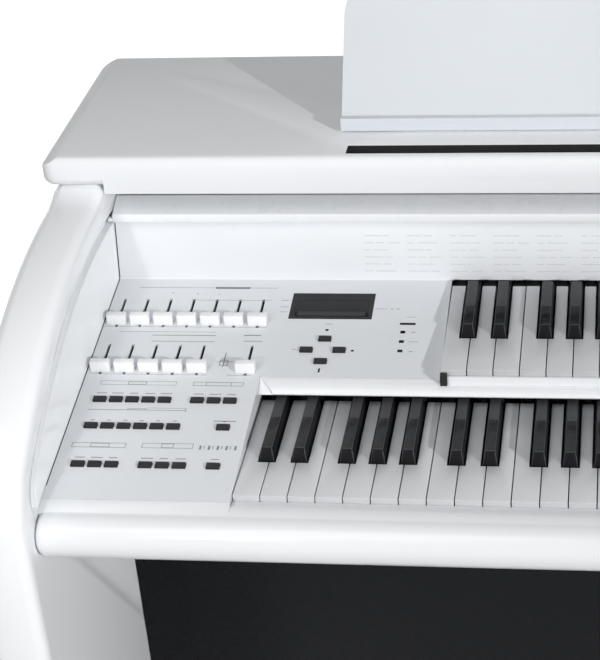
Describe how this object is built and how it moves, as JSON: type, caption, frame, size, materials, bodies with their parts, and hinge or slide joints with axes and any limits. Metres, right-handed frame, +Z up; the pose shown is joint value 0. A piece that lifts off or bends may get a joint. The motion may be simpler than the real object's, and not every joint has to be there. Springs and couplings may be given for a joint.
{
  "type": "electronic organ",
  "caption": "Free-standing electronic organ with stepped manuals, a sloping control panel, curved cheeks that carry a roll-top cover, a folding music rest, pedalboard and swell pedal.",
  "frame": {"origin": "on the floor, below the middle of the bounding box", "axes": "+X to the player's right, +Y to the back, +Z up"},
  "size_m": [1.133, 0.607, 1.0388],
  "materials": {
    "cabinet_lacquer": "white gloss lacquer over board",
    "cover_lacquer": "white gloss",
    "panel_paint": "light grey-white satin paint",
    "dark_board": "black satin paint over board",
    "screen": "dark gloss window",
    "knob_plastic": "white satin",
    "button_plastic": "black matt",
    "circuit_board": "green solder mask",
    "natural_key": "white semi-gloss",
    "sharp_key": "black satin",
    "sheet_steel": "zinc-plated sheet",
    "speaker_frame": "black frame",
    "pedal_wood": "dark varnish",
    "tread_plastic": "black ribbed tread"
  },
  "bodies": {
    "cabinet": {"side_panel_left": "cabinet_lacquer", "side_panel_right": "cabinet_lacquer", "top_lid": "cabinet_lacquer", "front_rail": "cabinet_lacquer", "key_bed": "cabinet_lacquer", "back_panel": "cabinet_lacquer", "knee_panel": "dark_board", "bottom_shelf": "cabinet_lacquer", "control_panel_left": "panel_paint", "control_panel_right": "panel_paint", "upper_key_slip": "panel_paint", "fascia": "panel_paint", "display_window": "screen", "main_board": "circuit_board", "lower_key_frame": "sheet_steel", "upper_key_frame": "sheet_steel", "loudspeaker_left": "speaker_frame", "loudspeaker_right": "speaker_frame", "amplifier": "sheet_steel", "pedal_frame": "dark_board", "swell_bracket": "sheet_steel"},
    "cover_front": {"cover_bar": "cover_lacquer", "cover_front_leaf": "cover_lacquer"},
    "cover_rear": {"cover_rear_leaf": "cover_lacquer"},
    "rest": {"music_rest": "cabinet_lacquer"},
    "slide_1": {"slide_control_1": "knob_plastic"},
    "slide_2": {"slide_control_2": "knob_plastic"},
    "slide_3": {"slide_control_3": "knob_plastic"},
    "slide_4": {"slide_control_4": "knob_plastic"},
    "slide_5": {"slide_control_5": "knob_plastic"},
    "slide_6": {"slide_control_6": "knob_plastic"},
    "slide_7": {"slide_control_7": "knob_plastic"},
    "slide_8": {"slide_control_8": "knob_plastic"},
    "slide_9": {"slide_control_9": "knob_plastic"},
    "slide_10": {"slide_control_10": "knob_plastic"},
    "slide_11": {"slide_control_11": "knob_plastic"},
    "slide_12": {"slide_control_12": "knob_plastic"},
    "slide_13": {"slide_control_13": "knob_plastic"},
    "button_row_a_body": {"button_row_a": "button_plastic"},
    "button_row_b_body": {"button_row_b": "button_plastic"},
    "button_row_c_body": {"button_row_c": "button_plastic"},
    "cursor_buttons_body": {"cursor_buttons": "button_plastic"},
    "switch": {"power_switch": "button_plastic"},
    "lower_key_c_body": {"lower_key_c": "natural_key"},
    "lower_key_c_sharp_body": {"lower_key_c_sharp": "sharp_key"},
    "lower_key_d_body": {"lower_key_d": "natural_key"},
    "lower_key_d_sharp_body": {"lower_key_d_sharp": "sharp_key"},
    "lower_key_e_body": {"lower_key_e": "natural_key"},
    "lower_naturals_body": {"lower_naturals": "natural_key"},
    "lower_sharps_body": {"lower_sharps": "sharp_key"},
    "upper_key_c_body": {"upper_key_c": "natural_key"},
    "upper_key_c_sharp_body": {"upper_key_c_sharp": "sharp_key"},
    "upper_key_d_body": {"upper_key_d": "natural_key"},
    "upper_key_d_sharp_body": {"upper_key_d_sharp": "sharp_key"},
    "upper_key_e_body": {"upper_key_e": "natural_key"},
    "upper_naturals_body": {"upper_naturals": "natural_key"},
    "upper_sharps_body": {"upper_sharps": "sharp_key"},
    "pedals_natural": {"natural_pedals": "pedal_wood"},
    "pedals_sharp": {"sharp_pedals": "pedal_wood"},
    "swell": {"swell_pedal": "tread_plastic"}
  },
  "joints": [
    {"name": "cover_turn", "type": "hinge", "parent": "cabinet", "child": "cover_front", "pos_m": [0, 0.018, 0.3357], "axis": [1, 0, 0], "range_deg": [0, 40.5]},
    {"name": "cover_rear_turn", "type": "hinge", "parent": "cabinet", "child": "cover_rear", "pos_m": [0, 0.018, 0.3357], "axis": [1, 0, 0], "range_deg": [0, 26.33]},
    {"name": "rest_fold", "type": "hinge", "parent": "cabinet", "child": "rest", "pos_m": [0, 0.1145, 0.899], "axis": [1, 0, 0], "range_deg": [-65, 0]},
    {"name": "slide_1_travel", "type": "slide", "parent": "cabinet", "child": "slide_1", "axis": [0, 0.9897, 0.1433], "range_m": [0, 0.03]},
    {"name": "slide_2_travel", "type": "slide", "parent": "cabinet", "child": "slide_2", "axis": [0, 0.9897, 0.1433], "range_m": [0, 0.03]},
    {"name": "slide_3_travel", "type": "slide", "parent": "cabinet", "child": "slide_3", "axis": [0, 0.9897, 0.1433], "range_m": [0, 0.03]},
    {"name": "slide_4_travel", "type": "slide", "parent": "cabinet", "child": "slide_4", "axis": [0, 0.9897, 0.1433], "range_m": [0, 0.03]},
    {"name": "slide_5_travel", "type": "slide", "parent": "cabinet", "child": "slide_5", "axis": [0, 0.9897, 0.1433], "range_m": [0, 0.03]},
    {"name": "slide_6_travel", "type": "slide", "parent": "cabinet", "child": "slide_6", "axis": [0, 0.9897, 0.1433], "range_m": [0, 0.03]},
    {"name": "slide_7_travel", "type": "slide", "parent": "cabinet", "child": "slide_7", "axis": [0, 0.9897, 0.1433], "range_m": [0, 0.03]},
    {"name": "slide_8_travel", "type": "slide", "parent": "cabinet", "child": "slide_8", "axis": [0, 0.9897, 0.1433], "range_m": [0, 0.03]},
    {"name": "slide_9_travel", "type": "slide", "parent": "cabinet", "child": "slide_9", "axis": [0, 0.9897, 0.1433], "range_m": [0, 0.03]},
    {"name": "slide_10_travel", "type": "slide", "parent": "cabinet", "child": "slide_10", "axis": [0, 0.9897, 0.1433], "range_m": [0, 0.03]},
    {"name": "slide_11_travel", "type": "slide", "parent": "cabinet", "child": "slide_11", "axis": [0, 0.9897, 0.1433], "range_m": [0, 0.03]},
    {"name": "slide_12_travel", "type": "slide", "parent": "cabinet", "child": "slide_12", "axis": [0, 0.9897, 0.1433], "range_m": [0, 0.03]},
    {"name": "slide_13_travel", "type": "slide", "parent": "cabinet", "child": "slide_13", "axis": [0, 0.9897, 0.1433], "range_m": [0, 0.03]},
    {"name": "button_row_a_press", "type": "slide", "parent": "cabinet", "child": "button_row_a_body", "axis": [0, 0.1433, -0.9897], "range_m": [0, 0.0015], "stiffness_N_per_m": 150, "springref_m": -0.002},
    {"name": "button_row_b_press", "type": "slide", "parent": "cabinet", "child": "button_row_b_body", "axis": [0, 0.1433, -0.9897], "range_m": [0, 0.0015], "stiffness_N_per_m": 150, "springref_m": -0.002},
    {"name": "button_row_c_press", "type": "slide", "parent": "cabinet", "child": "button_row_c_body", "axis": [0, 0.1433, -0.9897], "range_m": [0, 0.0015], "stiffness_N_per_m": 150, "springref_m": -0.002},
    {"name": "cursor_buttons_press", "type": "slide", "parent": "cabinet", "child": "cursor_buttons_body", "axis": [0, 0.1433, -0.9897], "range_m": [0, 0.0015], "stiffness_N_per_m": 150, "springref_m": -0.002},
    {"name": "switch_rock", "type": "hinge", "parent": "cabinet", "child": "switch", "pos_m": [0.424, -0.2027, 0.72425], "axis": [1, 0, 0], "range_deg": [-14, 0]},
    {"name": "lower_key_c_press", "type": "hinge", "parent": "cabinet", "child": "lower_key_c_body", "pos_m": [0, -0.0275, 0.708], "axis": [1, 0, 0], "range_deg": [0, 2.55], "stiffness_Nm_per_rad": 1.3, "springref_deg": -5.73},
    {"name": "lower_key_c_sharp_press", "type": "hinge", "parent": "cabinet", "child": "lower_key_c_sharp_body", "pos_m": [0, -0.0275, 0.708], "axis": [1, 0, 0], "range_deg": [0, 2.55], "stiffness_Nm_per_rad": 0.9, "springref_deg": -5.73},
    {"name": "lower_key_d_press", "type": "hinge", "parent": "cabinet", "child": "lower_key_d_body", "pos_m": [0, -0.0275, 0.708], "axis": [1, 0, 0], "range_deg": [0, 2.55], "stiffness_Nm_per_rad": 1.3, "springref_deg": -5.73},
    {"name": "lower_key_d_sharp_press", "type": "hinge", "parent": "cabinet", "child": "lower_key_d_sharp_body", "pos_m": [0, -0.0275, 0.708], "axis": [1, 0, 0], "range_deg": [0, 2.55], "stiffness_Nm_per_rad": 0.9, "springref_deg": -5.73},
    {"name": "lower_key_e_press", "type": "hinge", "parent": "cabinet", "child": "lower_key_e_body", "pos_m": [0, -0.0275, 0.708], "axis": [1, 0, 0], "range_deg": [0, 2.55], "stiffness_Nm_per_rad": 1.3, "springref_deg": -5.73},
    {"name": "lower_naturals_press", "type": "hinge", "parent": "cabinet", "child": "lower_naturals_body", "pos_m": [0, -0.0275, 0.708], "axis": [1, 0, 0], "range_deg": [0, 2.55], "stiffness_Nm_per_rad": 33.8, "springref_deg": -5.73},
    {"name": "lower_sharps_press", "type": "hinge", "parent": "cabinet", "child": "lower_sharps_body", "pos_m": [0, -0.0275, 0.708], "axis": [1, 0, 0], "range_deg": [0, 2.55], "stiffness_Nm_per_rad": 15.3, "springref_deg": -5.73},
    {"name": "upper_key_c_press", "type": "hinge", "parent": "cabinet", "child": "upper_key_c_body", "pos_m": [0, 0.12173, 0.75565], "axis": [1, 0, 0], "range_deg": [0, 2.55], "stiffness_Nm_per_rad": 1.3, "springref_deg": -5.73},
    {"name": "upper_key_c_sharp_press", "type": "hinge", "parent": "cabinet", "child": "upper_key_c_sharp_body", "pos_m": [0, 0.12173, 0.75565], "axis": [1, 0, 0], "range_deg": [0, 2.55], "stiffness_Nm_per_rad": 0.9, "springref_deg": -5.73},
    {"name": "upper_key_d_press", "type": "hinge", "parent": "cabinet", "child": "upper_key_d_body", "pos_m": [0, 0.12173, 0.75565], "axis": [1, 0, 0], "range_deg": [0, 2.55], "stiffness_Nm_per_rad": 1.3, "springref_deg": -5.73},
    {"name": "upper_key_d_sharp_press", "type": "hinge", "parent": "cabinet", "child": "upper_key_d_sharp_body", "pos_m": [0, 0.12173, 0.75565], "axis": [1, 0, 0], "range_deg": [0, 2.55], "stiffness_Nm_per_rad": 0.9, "springref_deg": -5.73},
    {"name": "upper_key_e_press", "type": "hinge", "parent": "cabinet", "child": "upper_key_e_body", "pos_m": [0, 0.12173, 0.75565], "axis": [1, 0, 0], "range_deg": [0, 2.55], "stiffness_Nm_per_rad": 1.3, "springref_deg": -5.73},
    {"name": "upper_naturals_press", "type": "hinge", "parent": "cabinet", "child": "upper_naturals_body", "pos_m": [0, 0.12173, 0.75565], "axis": [1, 0, 0], "range_deg": [0, 2.55], "stiffness_Nm_per_rad": 33.8, "springref_deg": -5.73},
    {"name": "upper_sharps_press", "type": "hinge", "parent": "cabinet", "child": "upper_sharps_body", "pos_m": [0, 0.12173, 0.75565], "axis": [1, 0, 0], "range_deg": [0, 2.55], "stiffness_Nm_per_rad": 15.3, "springref_deg": -5.73},
    {"name": "natural_pedals_press", "type": "hinge", "parent": "cabinet", "child": "pedals_natural", "pos_m": [0, 0.1985, 0.042], "axis": [1, 0, 0], "range_deg": [0, 2.4], "stiffness_Nm_per_rad": 200, "springref_deg": -5.73},
    {"name": "sharp_pedals_press", "type": "hinge", "parent": "cabinet", "child": "pedals_sharp", "pos_m": [0, 0.1985, 0.042], "axis": [1, 0, 0], "range_deg": [0, 2.4], "stiffness_Nm_per_rad": 120, "springref_deg": -5.73},
    {"name": "swell_tilt", "type": "hinge", "parent": "cabinet", "child": "swell", "pos_m": [0.27, -0.1825, 0.062], "axis": [1, 0, 0], "range_deg": [-22, 0]}
  ],
  "couplings": [
    {"joint": "cover_rear_turn", "follows": "cover_turn", "ratio": 0.65}
  ]
}
